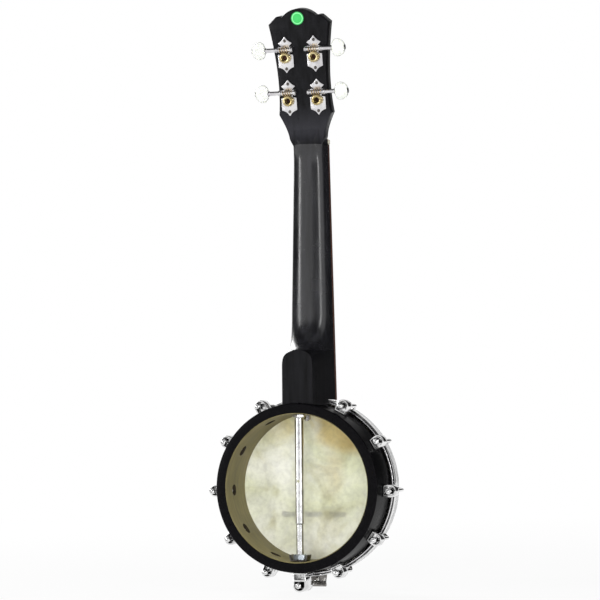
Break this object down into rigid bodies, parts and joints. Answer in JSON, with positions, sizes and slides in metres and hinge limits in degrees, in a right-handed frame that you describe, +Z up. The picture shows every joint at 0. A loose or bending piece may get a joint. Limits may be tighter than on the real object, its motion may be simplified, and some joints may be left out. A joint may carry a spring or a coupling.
{
  "type": "banjo ukulele",
  "caption": "Banjo ukulele: round open-backed drum pot with hooks, tension hoop and rod, fretted neck, and geared tuners whose buttons turn the string posts.",
  "frame": {"origin": "where the nut line crosses the middle of the neck, on the plane under the fretboard, the height at which a hanger's yoke holds the headstock", "axes": "+Z up along the neck to the headstock, +Y to the strings' side, +X to the right when seen from behind"},
  "size_m": [0.1812, 0.067, 0.5415],
  "materials": {
    "black_wood": "satin black lacquer",
    "rim_wood": "black lacquer outside, clear olive lacquer inside",
    "rosewood": "oiled",
    "bone": "polished",
    "maple": "clear lacquer",
    "parchment": "mottled, translucent",
    "chrome": "polished",
    "nickel": "brushed",
    "nylon": "smooth",
    "brass": "machined",
    "pearl": "pearly white"
  },
  "bodies": {
    "instrument": {"neck": "black_wood", "headstock_face": "black_wood", "rim": "rim_wood", "fretboard": "rosewood", "string_nut": "bone", "bridge": "maple", "drumhead": "parchment", "drumhead_collar": "parchment", "tension_hoop": "chrome", "rod_sleeve": "chrome", "rod_adjuster": "chrome", "tail_bracket": "chrome", "tail_hook": "chrome", "tailpiece": "chrome", "shoe_1": "chrome", "shoe_2": "chrome", "shoe_3": "chrome", "shoe_4": "chrome", "shoe_5": "chrome", "shoe_6": "chrome", "shoe_7": "chrome", "shoe_8": "chrome", "shoe_9": "chrome", "shoe_10": "chrome", "hook_1": "chrome", "hook_2": "chrome", "hook_3": "chrome", "hook_4": "chrome", "hook_5": "chrome", "hook_6": "chrome", "hook_7": "chrome", "hook_8": "chrome", "hook_9": "chrome", "hook_10": "chrome", "flesh_hoop": "nickel", "rod_neck_nut": "nickel", "rod_tail_nut": "nickel", "rod_saddle": "nickel", "heel_stud": "nickel", "tuner_plate_left_lower": "nickel", "tuner_plate_left_upper": "nickel", "tuner_plate_right_lower": "nickel", "tuner_plate_right_upper": "nickel", "string_a": "nylon", "string_e": "nylon", "string_c": "nylon", "string_g": "nylon"},
    "tuner_button_left_lower": {"worm_shaft_left_lower": "nickel", "button_left_lower": "pearl"},
    "tuner_post_left_lower": {"gear_post_left_lower": "brass"},
    "tuner_button_left_upper": {"worm_shaft_left_upper": "nickel", "button_left_upper": "pearl"},
    "tuner_post_left_upper": {"gear_post_left_upper": "brass"},
    "tuner_button_right_lower": {"worm_shaft_right_lower": "nickel", "button_right_lower": "pearl"},
    "tuner_post_right_lower": {"gear_post_right_lower": "brass"},
    "tuner_button_right_upper": {"worm_shaft_right_upper": "nickel", "button_right_upper": "pearl"},
    "tuner_post_right_upper": {"gear_post_right_upper": "brass"}
  },
  "joints": [
    {"name": "button_turn_left_lower", "type": "hinge", "parent": "instrument", "child": "tuner_button_left_lower", "pos_m": [-0.0141, -0.02878, 0.04636], "axis": [1, 0, 0], "continuous": true},
    {"name": "post_turn_left_lower", "type": "hinge", "parent": "instrument", "child": "tuner_post_left_lower", "pos_m": [-0.0141, -0.0224, 0.04007], "axis": [0, 0.9772, 0.2122], "continuous": true},
    {"name": "button_turn_left_upper", "type": "hinge", "parent": "instrument", "child": "tuner_button_left_upper", "pos_m": [-0.0141, -0.03731, 0.08564], "axis": [1, 0, 0], "continuous": true},
    {"name": "post_turn_left_upper", "type": "hinge", "parent": "instrument", "child": "tuner_post_left_upper", "pos_m": [-0.0141, -0.03093, 0.07935], "axis": [0, 0.9772, 0.2122], "continuous": true},
    {"name": "button_turn_right_lower", "type": "hinge", "parent": "instrument", "child": "tuner_button_right_lower", "pos_m": [0.0141, -0.02878, 0.04636], "axis": [1, 0, 0], "continuous": true},
    {"name": "post_turn_right_lower", "type": "hinge", "parent": "instrument", "child": "tuner_post_right_lower", "pos_m": [0.0141, -0.0224, 0.04007], "axis": [0, 0.9772, 0.2122], "continuous": true},
    {"name": "button_turn_right_upper", "type": "hinge", "parent": "instrument", "child": "tuner_button_right_upper", "pos_m": [0.0141, -0.03731, 0.08564], "axis": [1, 0, 0], "continuous": true},
    {"name": "post_turn_right_upper", "type": "hinge", "parent": "instrument", "child": "tuner_post_right_upper", "pos_m": [0.0141, -0.03093, 0.07935], "axis": [0, 0.9772, 0.2122], "continuous": true}
  ],
  "couplings": [
    {"joint": "post_turn_left_lower", "follows": "button_turn_left_lower", "ratio": -0.071429},
    {"joint": "post_turn_left_upper", "follows": "button_turn_left_upper", "ratio": -0.071429},
    {"joint": "post_turn_right_lower", "follows": "button_turn_right_lower", "ratio": -0.071429},
    {"joint": "post_turn_right_upper", "follows": "button_turn_right_upper", "ratio": -0.071429}
  ]
}
